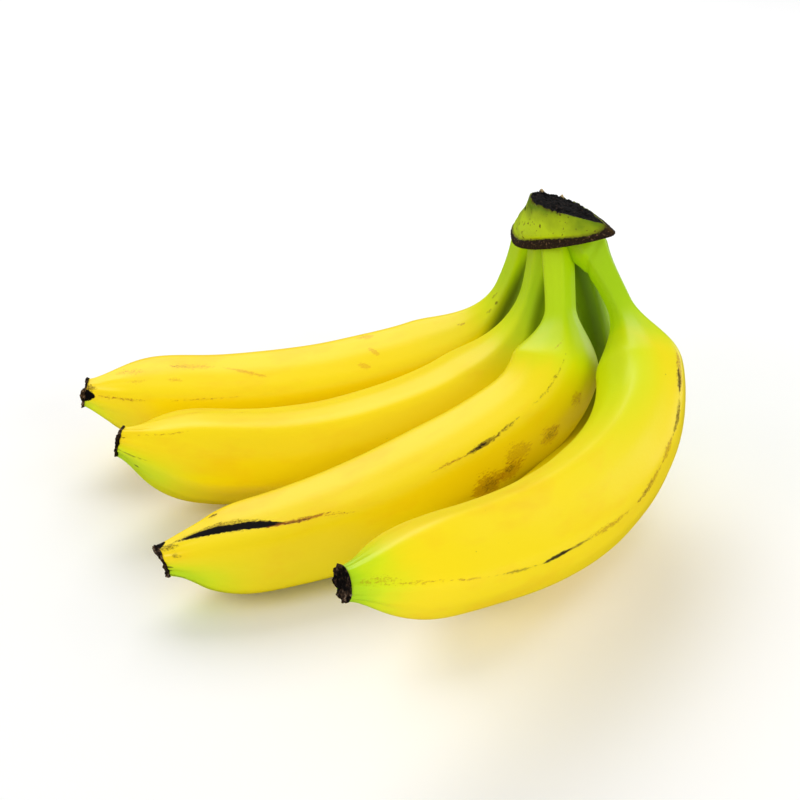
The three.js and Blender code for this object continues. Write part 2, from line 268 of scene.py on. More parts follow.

# What each skin has: how green its neck is and how far that fades slowly (slowEnd), from
# which distance its tip is green, towards which turn, how narrowly (tipSpread) and how much,
# and how green one side of the body is, towards which turn and up to which distance. Marks
# are (distance from the root, turn from the marked ridge) to the same, then width, ragged
# edge, how speckled, colour and strength. Turns are in degrees and the rest is millimetres.
# Marks in the painted shade colour are painted shade: a soft darker green laid where the necks lie
# together and shadow falls between them.
skins = {
    "banana_1": {
        "neck": 0.76, "slowEnd": 92, "tipFrom": 190, "tipTurn": 96, "tipSpread": 0.1,
        "tipGreen": 0.6, "sideTurn": 60, "sideGreen": 0.1, "sideEnd": 60,
        "marks": [
            ((206, -58), (192, -40), 3.4, 3.4, 0.8, amber, 0.8),
            ((190, -48), (160, -46), 3.4, 3.4, 0.75, amber, 0.85),
            ((186, -48), (172, -45), 1.6, 1.8, 0.9, tan, 0.7),
            ((165, -49), (139, -18), 2.4, 2.2, 0.5, amber, 0.85),
            ((188, -24), (178, -22), 2.2, 2.6, 0.7, amber, 0.8),
            ((202, -26), (192, -22), 2.0, 2.4, 0.7, amber, 0.7),
            ((212, 13), (192, 8), 1.6, 2.0, 0.7, tan, 0.9),
            ((194, 7), (150, -1), 1.0, 2.0, 0.6, tan, 0.7),
            ((103, -66), (92, -62), 3.0, 2.0, 0.4, amber, 0.6),
            ((99, -42), (94, -28), 4.0, 2.2, 0.4, amber, 0.65),
            ((106, -22), (99, -12), 3.5, 2.0, 0.4, amber, 0.6),
            ((33, -42), (27, -30), 1.6, 1.2, 0.6, brown, 0.6),
            ((33, -12), (30, -8), 1.8, 1.0, 0.3, brown, 0.8),
            ((39, -16), (34, -10), 1.6, 1.4, 0.6, brown, 0.6),
            ((54, -38), (48, -30), 1.5, 1.2, 0.3, tan, 0.6),
            ((216, -12), (208.5, -10), 4.2, 2.4, 0.5, brown, 0.85),
            ((217, 24), (209.0, 17), 5.6, 0.8, 0.0, black, 1.0),
            # painted shade on the neck side that lies in the shadow of banana_2's neck
            ((-2, 34), (62, 28), 12.0, 0, 0, paintedShade, 0.95),
        ],
    },
    "banana_2": {
        "neck": 0.76, "slowEnd": 92, "tipFrom": 166, "tipTurn": 118, "tipSpread": 0.1,
        "tipGreen": 0.62, "sideTurn": 80, "sideGreen": 0.12, "sideEnd": 70,
        "marks": [
            ((191, -34), (177, -41), 1.4, 2.2, 0.8, amber, 0.8),
            ((168, -36), (156, -46), 1.2, 2.0, 0.8, amber, 0.8),
            ((206, 14), (184, 2), 0.8, 1.6, 0.5, tan, 0.7),
            ((208, 26), (206, 24), 1.0, 1.0, 0.0, brown, 0.9),
            ((202, 98), (200, 96), 1.4, 0.8, 0.0, black, 0.9),
            ((209, 110), (207, 108), 1.0, 0.8, 0.0, black, 0.9),
            ((212, 78), (196, 62), 0.9, 0.6, 0.0, olive, 0.8),
            ((212, 92), (204, 82), 0.8, 0.6, 0.0, moss, 0.7),
            # painted shade on the neck side that lies in the shadow of banana_3's neck
            ((-2, 60), (56, 52), 10.0, 0, 0, paintedShade, 0.75),
        ],
    },
    "banana_3": {
        "neck": 0.74, "slowEnd": 84, "tipFrom": 168, "tipTurn": 84, "tipSpread": 0.1,
        "tipGreen": 0.66, "sideTurn": 110, "sideGreen": 0.25, "sideEnd": 250,
        "marks": [
            ((204, -50), (164, -9), 5.8, 2.2, 0.7, brown, 0.8),
            ((201, -45), (176, -16), 4.0, 0.9, 0.0, black, 1.0),
            ((192, -32), (164, -10), 3.9, 0.9, 0.0, black, 1.0),
            ((208, -46), (199, -30), 4.0, 3.2, 0.6, brown, 0.85),
            ((176, -13), (146, -7), 2.0, 1.2, 0.2, tan, 0.95),
            ((170, -11), (154, -8), 1.2, 1.0, 0.4, brown, 0.9),
            ((156, -9), (138, 3), 1.4, 2.4, 0.6, tan, 0.75),
            ((190, -65), (186, -63), 2.0, 1.2, 0.2, brown, 0.9),
            ((204, -8), (200, 2), 2.6, 3.0, 0.5, brown, 0.7),
            ((112, -4), (90, -2), 1.4, 1.4, 0.6, tan, 0.9),
            ((97, -2), (76, -2), 2.4, 1.4, 0.3, brown, 0.9),
            ((94, -2), (84, -2), 1.4, 0.8, 0.0, black, 0.95),
            ((84, -2), (66, -5), 1.6, 1.4, 0.6, brown, 0.9),
            ((70, -6), (30, -2), 1.2, 2.2, 0.8, brown, 0.7),
            ((100, 44), (82, 44), 12.0, 8.0, 0.2, bruise, 0.6),
            ((95, 44), (86, 45), 6.0, 5.0, 0.8, brown, 0.6),
            ((88, 46), (74, 44), 9.0, 6.0, 0.3, bruise, 0.6),
            ((84, 42), (78, 42), 4.5, 4.0, 0.8, brown, 0.75),
            ((84, 30), (68, 32), 10.0, 8.0, 0.4, bruise, 0.45),
            ((68, 42), (56, 42), 8.5, 7.0, 0.6, bruise, 0.6),
            ((65, 41), (58, 42), 4.0, 3.5, 0.8, brown, 0.5),
            ((51, 40), (44, 40), 7.5, 6.5, 0.7, bruise, 0.6),
            ((36, -22), (29, -6), 1.2, 1.4, 0.6, tan, 0.6),
            ((213, -78), (203, -66), 7.0, 1.0, 0.0, black, 1.0),
            ((212, 28), (203, 34), 1.3, 0.8, 0.2, black, 0.9),
            ((212, 46), (204, 50), 1.2, 0.8, 0.3, black, 0.8),
            ((211, 64), (198, 72), 1.2, 1.2, 0.6, brown, 0.8),
        ],
    },
    "banana_4": {
        "neck": 0.92, "slowEnd": 96, "tipFrom": 222, "tipTurn": 0, "tipSpread": -3,
        "tipGreen": 0.8, "sideTurn": -104, "sideGreen": 0.62, "sideEnd": 182,
        "marks": [
            ((46, -3), (72, -5), 3.2, 2.2, 0.6, tan, 0.75),
            ((55, -6), (71, -4.5), 1.8, 1.0, 0.2, black, 0.9),
            ((66, -5), (94, 0), 2.0, 1.4, 0.4, brown, 0.9),
            ((88, -2), (108, 5), 3.2, 3.0, 0.6, tan, 0.9),
            ((102, 2.5), (131, 13), 3.6, 3.0, 0.6, tan, 0.85),
            ((112, 6.5), (128, 13), 2.4, 2.4, 0.8, brown, 0.7),
            ((127, 12.5), (164, 8), 3.0, 2.8, 0.6, tan, 0.75),
            ((152, 9), (176, 12), 1.8, 1.4, 0.3, brown, 0.85),
            ((165, 9.5), (182, 13), 2.2, 0.8, 0.0, black, 0.95),
            ((180, 13), (204, 5.5), 1.4, 1.4, 0.4, brown, 0.8),
            ((203, 5.5), (222, -3), 1.0, 1.8, 0.5, tan, 0.75),
            ((216, -2), (244, -9), 1.0, 1.8, 0.5, tan, 0.75),
            ((248, -24), (232, -10), 3.6, 4.0, 0.95, tan, 0.5),
        ],
    },
    "banana_5": {
        "neck": 0.95, "slowEnd": 120, "tipFrom": 170, "tipTurn": 90, "tipSpread": 0.1,
        "tipGreen": 0.6, "sideTurn": -60, "sideGreen": 0.5, "sideEnd": 150,
        "marks": [
            # painted shade over the neck and shoulder that lie in the dark gap behind the other
            # necks
            ((-20, -40), (88, -30), 26.0, 0, 0, paintedShade, 0.8),
            ((60, 0), (90, 2), 1.4, 2.0, 0.5, brown, 0.7),
            ((110, 2), (150, -2), 1.6, 2.4, 0.6, tan, 0.7),
        ],
    },
}


def addMark(material, skinColour, field, mark):
    # lays one mark over the colour so far, a scar or a band of painted shade: a line that thins
    # out at both ends
    (startS, startTurn), (endS, endTurn), width, ragged, speckled, colour, strength = mark
    share = addNode(material, "ShaderNodeMapRange", inputs={
        "Value": field["s"], "From Min": startS, "From Max": endS}).outputs[0]
    middle = addNode(material, "ShaderNodeMapRange", inputs={
        "Value": share, "To Min": math.radians(startTurn),
        "To Max": math.radians(endTurn)}).outputs[0]
    turn = addNode(material, "ShaderNodeMath", {"operation": "SUBTRACT"},
                   {0: field["angle"], 1: middle}).outputs[0]
    across = addNode(material, "ShaderNodeMath", {"operation": "MULTIPLY"},
                     {0: turn, 1: field["radius"]}).outputs[0]
    away = addNode(material, "ShaderNodeMath", {"operation": "ABSOLUTE"}, {0: across}).outputs[0]
    halfTurn = addNode(material, "ShaderNodeMath", {"operation": "MULTIPLY"},
                       {0: share, 1: math.pi}).outputs[0]
    swell = addNode(material, "ShaderNodeMath", {"operation": "SINE"}, {0: halfTurn}).outputs[0]
    lens = addNode(material, "ShaderNodeMath", {"operation": "POWER"},
                   {0: swell, 1: peel["scarLens"]}).outputs[0]
    reach = addNode(material, "ShaderNodeMath", {"operation": "MULTIPLY_ADD"},
                    {0: lens, 1: (width + ragged) / 2, 2: -ragged}).outputs[0]
    torn = addNode(material, "ShaderNodeMath", {"operation": "MULTIPLY_ADD"},
                   {0: field["tear"], 1: ragged, 2: reach}).outputs[0]
    inside = addNode(material, "ShaderNodeMath", {"operation": "SUBTRACT"},
                     {0: torn, 1: away}).outputs[0]
    soft = (1 + ragged) * peel["scarSoftness"]
    # painted shade marks get a wide soft edge and no tear
    if colour == paintedShade:
        soft = width * peel["shadeSoftness"]
    cover = addNode(material, "ShaderNodeMapRange", {"interpolation_type": "SMOOTHSTEP"}, {
        "Value": inside, "From Max": soft, "To Max": strength}).outputs[0]
    if speckled:
        broken = addNode(material, "ShaderNodeMath", {"operation": "MULTIPLY_ADD"},
                         {0: field["grit"], 1: speckled, 2: 1 - speckled}).outputs[0]
        cover = addNode(material, "ShaderNodeMath", {"operation": "MULTIPLY"},
                        {0: cover, 1: broken}).outputs[0]
    if colour in (black, brown):
        field["dry"] = addNode(material, "ShaderNodeMath", {"operation": "MAXIMUM"},
                               {0: field["dry"], 1: cover}).outputs[0]
    return addNode(material, "ShaderNodeMix", {"data_type": "RGBA"},
                   {0: cover, 6: skinColour, 7: linear(colour)}).outputs[2]


def makePeel(name, b, skin):
    material = newMaterial("ripe peel " + name[-1])
    place = addNode(material, "ShaderNodeAttribute", {"attribute_name": "grown"})
    parts = addNode(material, "ShaderNodeSeparateXYZ", inputs={0: place.outputs["Vector"]})
    x, y, s = parts.outputs
    angle = addNode(material, "ShaderNodeMath", {"operation": "ARCTAN2"}, {0: y, 1: x}).outputs[0]
    flat = addNode(material, "ShaderNodeCombineXYZ", inputs={0: x, 1: y})
    radius = addNode(material, "ShaderNodeVectorMath", {"operation": "LENGTH"},
                     {0: flat.outputs[0]}).outputs["Value"]

    # soft patches about 25 mm long, tears about 0.7 mm wide and grit of 0.5 mm
    longer = addNode(material, "ShaderNodeMapping", inputs={
        "Vector": place.outputs["Vector"], "Scale": (1, 1, 0.4)}).outputs[0]
    patches = addNode(material, "ShaderNodeTexNoise", inputs={
        "Vector": longer, "Scale": 0.1, "Detail": 3.0}).outputs[0]
    tear = addNode(material, "ShaderNodeTexNoise", inputs={
        "Vector": longer, "Scale": 1.4, "Detail": 5.0, "Roughness": 0.7}).outputs[0]
    tear = addNode(material, "ShaderNodeMapRange", inputs={
        "Value": tear, "From Min": 0.28, "From Max": 0.72}).outputs[0]
    grit = addNode(material, "ShaderNodeTexNoise", inputs={
        "Vector": place.outputs["Vector"], "Scale": 1.9, "Detail": 3.0,
        "Roughness": 0.65}).outputs[0]
    grit = addNode(material, "ShaderNodeMapRange", inputs={
        "Value": grit, "From Min": 0.44, "From Max": 0.62}).outputs[0]
    field = {"s": s, "angle": angle, "radius": radius, "tear": tear, "grit": grit, "dry": 0.0}

    # green fades quickly behind the neck, then slowly along the body
    drift = addNode(material, "ShaderNodeMath", {"operation": "MULTIPLY_ADD"},
                    {0: patches, 1: peel["neckDrift"], 2: -peel["neckDrift"] / 2}).outputs[0]
    wavy = addNode(material, "ShaderNodeMath", {"operation": "ADD"}, {0: s, 1: drift}).outputs[0]
    quick = addNode(material, "ShaderNodeMapRange", {"interpolation_type": "SMOOTHSTEP"}, {
        "Value": wavy, "From Min": peel["quickFrom"], "From Max": peel["quickTo"],
        "To Min": skin["neck"] * peel["quickShare"], "To Max": 0.0}).outputs[0]
    slow = addNode(material, "ShaderNodeMapRange", {"interpolation_type": "SMOOTHSTEP"}, {
        "Value": wavy, "From Min": peel["slowFrom"], "From Max": float(skin["slowEnd"]),
        "To Min": skin["neck"] * (1 - peel["quickShare"]), "To Max": 0.0}).outputs[0]
    neck = addNode(material, "ShaderNodeMath", {"operation": "ADD"},
                   {0: quick, 1: slow}).outputs[0]

    # and stays on one side of the tip and of the body
    tipTurned = addNode(material, "ShaderNodeMath", {"operation": "SUBTRACT"},
                        {0: angle, 1: math.radians(skin["tipTurn"])}).outputs[0]
    tipFacing = addNode(material, "ShaderNodeMath", {"operation": "COSINE"},
                        {0: tipTurned}).outputs[0]
    tipSide = addNode(material, "ShaderNodeMapRange", {"interpolation_type": "SMOOTHSTEP"}, {
        "Value": tipFacing, "From Min": float(skin["tipSpread"]),
        "From Max": skin["tipSpread"] + peel["tipSoftness"]}).outputs[0]
    tipAhead = addNode(material, "ShaderNodeMapRange", {"interpolation_type": "SMOOTHSTEP"}, {
        "Value": wavy, "From Min": float(skin["tipFrom"]),
        "From Max": b["length"] + peel["tipPast"],
        "To Max": skin["tipGreen"] * peel["tipGain"]}).outputs[0]
    tip = addNode(material, "ShaderNodeMath", {"operation": "MULTIPLY"},
                  {0: tipSide, 1: tipAhead}).outputs[0]
    turned = addNode(material, "ShaderNodeMath", {"operation": "SUBTRACT"},
                     {0: angle, 1: math.radians(skin["sideTurn"])}).outputs[0]
    facing = addNode(material, "ShaderNodeMath", {"operation": "COSINE"}, {0: turned}).outputs[0]
    sideways = addNode(material, "ShaderNodeMapRange", {"interpolation_type": "SMOOTHSTEP"}, {
        "Value": facing, "From Min": -0.3, "From Max": 1.1,
        "To Max": skin["sideGreen"]}).outputs[0]
    fading = addNode(material, "ShaderNodeMapRange", {"interpolation_type": "SMOOTHSTEP"}, {
        "Value": wavy, "From Min": skin["sideEnd"] - peel["sideFade"],
        "From Max": float(skin["sideEnd"]),
        "To Min": 1.0, "To Max": 0.0}).outputs[0]
    side = addNode(material, "ShaderNodeMath", {"operation": "MULTIPLY"},
                   {0: sideways, 1: fading}).outputs[0]
    ends = addNode(material, "ShaderNodeMath", {"operation": "MAXIMUM"},
                   {0: neck, 1: tip}).outputs[0]
    green = addNode(material, "ShaderNodeMath", {"operation": "MAXIMUM"},
                    {0: ends, 1: side}).outputs[0]
    ramp = addNode(material, "ShaderNodeValToRGB", inputs={0: green})
    stops = ramp.color_ramp.elements
    stops[0].color = linear(peel["ripe"])
    stops[1].color = linear(peel["deepGreen"])
    stops.new(0.22).color = linear(peel["turning"])
    stops.new(0.48).color = linear(peel["lime"])
    stops.new(0.75).color = linear(peel["unripe"])

    # ochre blushes, scars, painted shade between the necks and scattered freckles
    blush = addNode(material, "ShaderNodeMapRange", inputs={
        "Value": patches, "From Min": 0.5, "From Max": 0.72, "To Max": 0.4}).outputs[0]
    yellowOnly = addNode(material, "ShaderNodeMath", {"operation": "SUBTRACT", "use_clamp": True},
                         {0: blush, 1: green}).outputs[0]
    colour = addNode(material, "ShaderNodeMix", {"data_type": "RGBA"}, {
        0: yellowOnly, 6: ramp.outputs[0], 7: linear(peel["ochre"])}).outputs[2]
    for mark in skin["marks"]:
        colour = addMark(material, colour, field, mark)
    cells = addNode(material, "ShaderNodeTexVoronoi", inputs={
        "Vector": place.outputs["Vector"], "Scale": 1 / peel["freckleSpacing"]})
    pick = addNode(material, "ShaderNodeSeparateColor", inputs={0: cells.outputs["Color"]})
    size = addNode(material, "ShaderNodeMapRange", inputs={
        "Value": pick.outputs[0], "From Min": 1 - peel["freckleShare"], "From Max": 1.0,
        "To Max": peel["freckleRadius"]}).outputs[0]
    dot = addNode(material, "ShaderNodeMath", {"operation": "SUBTRACT"},
                  {0: size, 1: cells.outputs["Distance"]}).outputs[0]
    freckled = addNode(material, "ShaderNodeMapRange", inputs={
        "Value": dot, "From Max": peel["freckleEdge"],
        "To Max": peel["freckleStrength"]}).outputs[0]
    colour = addNode(material, "ShaderNodeMix", {"data_type": "RGBA"}, {
        0: freckled, 6: colour, 7: linear(peel["freckle"])}).outputs[2]

    # scars are rougher and lie a little lower than the grained wax
    grain = addNode(material, "ShaderNodeTexNoise", inputs={
        "Vector": longer, "Scale": 1.6, "Detail": 3.0}).outputs[0]
    grained = addNode(material, "ShaderNodeMath", {"operation": "MULTIPLY"},
                      {0: grain, 1: peel["grain"]}).outputs[0]
    height = addNode(material, "ShaderNodeMath", {"operation": "MULTIPLY_ADD"},
                     {0: field["dry"], 1: -peel["scarDepth"], 2: grained}).outputs[0]
    bump = addNode(material, "ShaderNodeBump", inputs={
        "Height": height, "Strength": 0.6, "Distance": 0.0003})
    shine = addNode(material, "ShaderNodeMapRange", inputs={
        "Value": field["dry"], "To Min": peel["roughness"],
        "To Max": peel["scarRoughness"]}).outputs[0]
    shine = addNode(material, "ShaderNodeMath", {"operation": "MULTIPLY_ADD"},
                    {0: patches, 1: peel["patchyShine"], 2: shine}).outputs[0]
    shader = addNode(material, "ShaderNodeBsdfPrincipled", inputs={
        "Base Color": colour, "Roughness": shine, "IOR": 1.45,
        "Specular IOR Level": peel["specular"], "Normal": bump.outputs[0]})
    addNode(material, "ShaderNodeOutputMaterial", inputs={0: shader.outputs[0]})
    return material


# Crown: a wedge between an oval underside, where the necks end, and an oval cut on top.
# Each outline point is a share of the oval's size and a share of the height. The brown ledge
# starts at the left end, is ledgeThick in the middle and thins by ledgeThins to the right. The
# left end is lifted and has a waist. The cut bites down at dipTurn, and the flesh stands up in
# a lip at lipTurn. Lumps are noise, as (times per mm, depth). Frays are torn fibres: turn,
# height and half width in degrees. Nothing is above top. A span is where something rises from
# none to full: over the way to the left or right end, the height or the share.
crown = {
    "underside": {"centre": (52.6, 87.4, 93.1), "longHalf": (15.4, -25, 8.6),
                  "shortHalf": (10.6, 8, 5.2), "taper": 0.4, "backShare": 0.72},
    "cut": {"centre": (54.2, 79.5, 104.2), "longHalf": (13, -17.5, -0.2),
            "shortHalf": (6.4, 5.1, -1.6), "taper": 0.6, "backShare": 1},
    "sides": 240, "pointing": 1.3,
    "outline": [
        (0.6, 0), (0.97, 0), (1, 0.05), (1.01, 0.14), (1, 0.2), (1, 0.25), (1.04, 0.34),
        (1.03, 0.46), (1, 0.65), (0.98, 0.85), (0.98, 0.96), (0.94, 1), (0.8, 1), (0.6, 1),
        (0.4, 1), (0.2, 1), (0.02, 1),
    ],
    "ringsBetween": 6, "ledgeThick": 6, "ledgeReach": 0.24, "ledgeThins": 0.45,
    "thinSpan": (0.5, 0.95), "cornerLift": 2.4, "cornerSpan": (0.45, 1),
    "waist": 0.08, "waistShare": 0.9, "waistSpan": (0.3, 0.8), "lumps": ((0.6, 0.5), (1.7, 0.35)),
    "edgeSpan": (-0.4, 0.4), "tornRim": 0.7, "tornOut": 0.1, "groove": 0.5, "grooveWidth": 1.5,
    "crust": 1.3, "crustDepth": 0.45, "crumbSpan": (0.75, 1), "rimShare": 0.93, "inCut": -2,
    "dip": 0.4, "dipTurn": -117, "dipWidth": 40, "lip": 3.2, "lipTurn": -50, "lipWidth": 35,
    "lipSpan": (0.45, 1), "lipRim": (0.75, 0.95), "top": 105.8, "topUneven": 0.7,
    "frays": [(165, 1.5, 3), (132, 1.1, 2.5)], "fraySpan": (0.82, 0.9), "frayMark": 5,
}


def ovalPoint(oval, angle, share):
    depth = oval["backShare"] if math.sin(angle) > 0 else 1
    width = (1 - oval["taper"] * math.cos(angle)) * depth
    width *= abs(math.sin(angle)) ** (crown["pointing"] - 1)
    return (
        Vector(oval["centre"]) + Vector(oval["longHalf"]) * (share * math.cos(angle))
        + Vector(oval["shortHalf"]) * (share * width * math.sin(angle))
    )


undersideMiddle = (Vector(crown["underside"]["centre"]) + bunchShift) * mm
cutAxis = Vector(crown["underside"]["longHalf"]).cross(Vector(crown["underside"]["shortHalf"]))
cutAxis.normalize()


def spreadRows(outline, between):
    # rows of share and height along an outline, with even steps between its points
    rows = []
    for first, second in zip(outline, outline[1:]):
        for i in range(between):
            t = i / between
            rows.append([first[0] + (second[0] - first[0]) * t,
                         first[1] + (second[1] - first[1]) * t])
    rows.append(list(outline[-1]))
    return rows


def pullRings(bm, ring, rows, placeVert):
    # extrudes one ring of corners row by row, and puts each corner where placeVert says
    edges = list({edge for vert in ring for edge in vert.link_edges})
    for number, row in enumerate(rows):
        if number:
            made = bmesh.ops.extrude_edge_only(bm, edges=edges)["geom"]
            ring = {part for part in made if isinstance(part, bmesh.types.BMVert)}
            edges = [part for part in made if isinstance(part, bmesh.types.BMEdge)
                     and ring.issuperset(part.verts)]
        for vert in ring:
            placeVert(vert, row)
    bmesh.ops.holes_fill(bm, edges=bm.edges)


def makeBanana(name, b):
    # a ring of corners pulled along the centre line, bent and ridged as the fruit grew
    bm = bmesh.new()
    grown = bm.verts.layers.float_vector.new("grown")
    sides = growth["sidesRound"]
    ring = bmesh.ops.create_circle(bm, segments=sides, radius=1)["verts"]
    for vert in ring:
        vert[grown] = (vert.co.x, vert.co.y, 0)
    scarStart = b["length"] - growth["tipTrim"] - growth["scarReach"]
    count = growth["ridges"]

    def placeVert(vert, station):
        s = station["s"]
        along, inner, side = station["axes"]
        plain = radiusAt(b, s)
        turn = math.atan2(vert[grown].y, vert[grown].x)
        ridges = math.cos(count * turn) + growth["ridgeSharpness"] * math.cos(2 * count * turn)
        fromRidge = (turn + math.pi / count) % (2 * math.pi / count) - math.pi / count
        seam = bell(fromRidge * plain / growth["seamWidth"])
        vert[grown] = (plain * math.cos(turn), plain * math.sin(turn), s)
        # slow unevenness of the flesh, and creases where the skin gathers at the tip
        swell = noise.noise(vert[grown] / growth["swellLength"] + Vector((0, 0, b["length"])))
        gathered = smooth((s - b["length"] + growth["creaseReach"]) / growth["creaseFade"])
        gathered *= smooth((s - b["neckLength"]) / growth["creaseFade"])
        around = Vector((math.cos(turn), math.sin(turn), s * growth["creaseDrift"]))
        crease = noise.noise(around * growth["creasePitch"]) - growth["creaseBias"]
        radius = plain * (1 + growth["ridgeHeight"] * ridges) - growth["slack"]
        radius += growth["seamHeight"] * (seam - 1) + growth["swell"] * (swell - 0.5)
        radius += growth["creaseHeight"] * gathered * crease
        if "cuffAt" in b:
            # the fold where the skin of the neck was pushed up against the crown
            foldAt = b["cuffAt"] + b["cuffSlant"] * math.degrees(turn)
            radius -= b["cuffDepth"] * bell((s - foldAt) / growth["cuffWidth"])
        angle = turn + ridgeAngle(b, s)
        ahead = smooth((s - scarStart) / growth["scarReach"]) * scarShift(b, radius, angle)
        place = station["point"] + inner * (radius * math.cos(angle))
        place += side * (radius * math.sin(angle)) + along * ahead
        vert.co = (place + bunchShift) * mm
        vert.co.z = max(vert.co.z, 0)

    trim = b.get("peelTrim", growth["peelTrim"])
    line = centreLine(b, growth["neckTop"], trim, growth["stepsAlong"])
    pullRings(bm, ring, line, placeVert)
    neck = {vert for vert in bm.verts if vert[grown].z < growth["neckSpan"]}
    neckParts = list(neck) + [part for part in bm.edges[:] + bm.faces[:]
                              if neck.issuperset(part.verts)]
    bmesh.ops.bisect_plane(
        bm, geom=neckParts, plane_co=undersideMiddle + cutAxis * b["cutAbove"] * mm,
        plane_no=cutAxis, clear_outer=True)
    bmesh.ops.holes_fill(bm, edges=bm.edges)
    finishMesh(bm, name + "_peel", makePeel(name, b, skins[name]), [name])


for name, b in bananas.items():
    makeBanana(name, b)
    print(name, "made")


# Crown: the tough green stem base, with a dry brown ledge where it was torn from the stalk
# and a crumbly black cut on top.
crownLook = {
    "flesh": "#9cb300", "fleshDark": "#6e8c00", "fleshPale": "#bcd600", "stain": "#5a4405",
    "ledge": "#2a1c14", "ledgePale": "#8a6c52", "cut": "#0b090a", "cutPale": "#4a372a",
    "fibre": "#b8a070",
    "roughness": 0.5, "dryRoughness": 0.9, "specular": 0.3,
}


def makeCrownMaterial():
    material = newMaterial("crown flesh and dried cut")
    place = addNode(material, "ShaderNodeTexCoord").outputs["Object"]
    zone = addNode(material, "ShaderNodeAttribute", {"attribute_name": "zone"})
    zones = addNode(material, "ShaderNodeSeparateXYZ", inputs={0: zone.outputs["Vector"]})
    aboveLedge, belowCut, around = zones.outputs
    # blotches of 8 mm, tears of 1.4 mm and grit of 0.8 mm
    blotch = addNode(material, "ShaderNodeTexNoise", inputs={
        "Vector": place, "Scale": 120.0, "Detail": 3.0}).outputs[0]
    tear = addNode(material, "ShaderNodeTexNoise", inputs={
        "Vector": place, "Scale": 700.0, "Detail": 4.0}).outputs[0]
    grit = addNode(material, "ShaderNodeTexNoise", inputs={
        "Vector": place, "Scale": 1300.0, "Detail": 3.0}).outputs[0]
    # dark green under the cut turns lime towards the ledge, 10 mm lower
    down = addNode(material, "ShaderNodeMapRange", inputs={
        "Value": belowCut, "From Min": 0.0, "From Max": 10.0, "To Max": 0.6}).outputs[0]
    tone = addNode(material, "ShaderNodeMath", {"operation": "MULTIPLY_ADD"},
                   {0: blotch, 1: 0.8, 2: down}).outputs[0]
    # the left end of the wedge, where around is half a turn, is darker too
    facing = addNode(material, "ShaderNodeMath", {"operation": "COSINE"}, {0: around}).outputs[0]
    darker = addNode(material, "ShaderNodeMapRange", inputs={
        "Value": facing, "From Min": -1.0, "From Max": -0.4, "To Min": -0.22,
        "To Max": 0.0}).outputs[0]
    tone = addNode(material, "ShaderNodeMath", {"operation": "ADD"},
                   {0: tone, 1: darker}).outputs[0]
    flesh = addNode(material, "ShaderNodeValToRGB", inputs={0: tone})
    stops = flesh.color_ramp.elements
    stops[0].position = 0.42
    stops[0].color = linear(crownLook["fleshDark"])
    stops[1].position = 0.95
    stops[1].color = linear(crownLook["fleshPale"])
    stops.new(0.68).color = linear(crownLook["flesh"])
    speck = addNode(material, "ShaderNodeMapRange", inputs={
        "Value": tear, "From Min": 0.63, "From Max": 0.68, "To Max": 0.85}).outputs[0]
    colour = addNode(material, "ShaderNodeMix", {"data_type": "RGBA"}, {
        0: speck, 6: flesh.outputs[0], 7: linear(crownLook["stain"])}).outputs[2]
    dryness = 0.0
    for edge, dark, pale in ((aboveLedge, "ledge", "ledgePale"), (belowCut, "cut", "cutPale")):
        fleck = addNode(material, "ShaderNodeMapRange", inputs={
            "Value": grit, "From Min": 0.58, "From Max": 0.74, "To Max": 0.8}).outputs[0]
        dried = addNode(material, "ShaderNodeMix", {"data_type": "RGBA"}, {
            0: fleck, 6: linear(crownLook[dark]), 7: linear(crownLook[pale])}).outputs[2]
        torn = addNode(material, "ShaderNodeMath", {"operation": "MULTIPLY_ADD"},
                       {0: tear, 1: 1.2, 2: edge}).outputs[0]
        stained = addNode(material, "ShaderNodeMapRange", {"interpolation_type": "SMOOTHSTEP"}, {
            "Value": torn, "From Min": 2.2, "From Max": 0.5, "To Max": 0.7}).outputs[0]
        colour = addNode(material, "ShaderNodeMix", {"data_type": "RGBA"}, {
            0: stained, 6: colour, 7: linear(crownLook["stain"])}).outputs[2]
        cover = addNode(material, "ShaderNodeMapRange", inputs={
            "Value": torn, "From Min": 0.8, "From Max": 0.5}).outputs[0]
        colour = addNode(material, "ShaderNodeMix", {"data_type": "RGBA"}, {
            0: cover, 6: colour, 7: dried}).outputs[2]
        dryness = addNode(material, "ShaderNodeMath", {"operation": "MAXIMUM"},
                          {0: cover, 1: dryness}).outputs[0]
    # belowCut is far below nothing only on the torn fibres
    frayed = addNode(material, "ShaderNodeMapRange", inputs={
        "Value": belowCut, "From Min": -3.2, "From Max": -5.0}).outputs[0]
    colour = addNode(material, "ShaderNodeMix", {"data_type": "RGBA"}, {
        0: frayed, 6: colour, 7: linear(crownLook["fibre"])}).outputs[2]
    rough = addNode(material, "ShaderNodeMapRange", inputs={
        "Value": dryness, "To Min": crownLook["roughness"],
        "To Max": crownLook["dryRoughness"]}).outputs[0]
    relief = addNode(material, "ShaderNodeMath", {"operation": "MULTIPLY"},
                     {0: tear, 1: dryness}).outputs[0]
    bump = addNode(material, "ShaderNodeBump", inputs={
        "Height": relief, "Strength": 0.8, "Distance": 0.0008})
    shader = addNode(material, "ShaderNodeBsdfPrincipled", inputs={
        "Base Color": colour, "Roughness": rough, "Specular IOR Level": crownLook["specular"],
        "Normal": bump.outputs[0]})
    addNode(material, "ShaderNodeOutputMaterial", inputs={0: shader.outputs[0]})
    return material


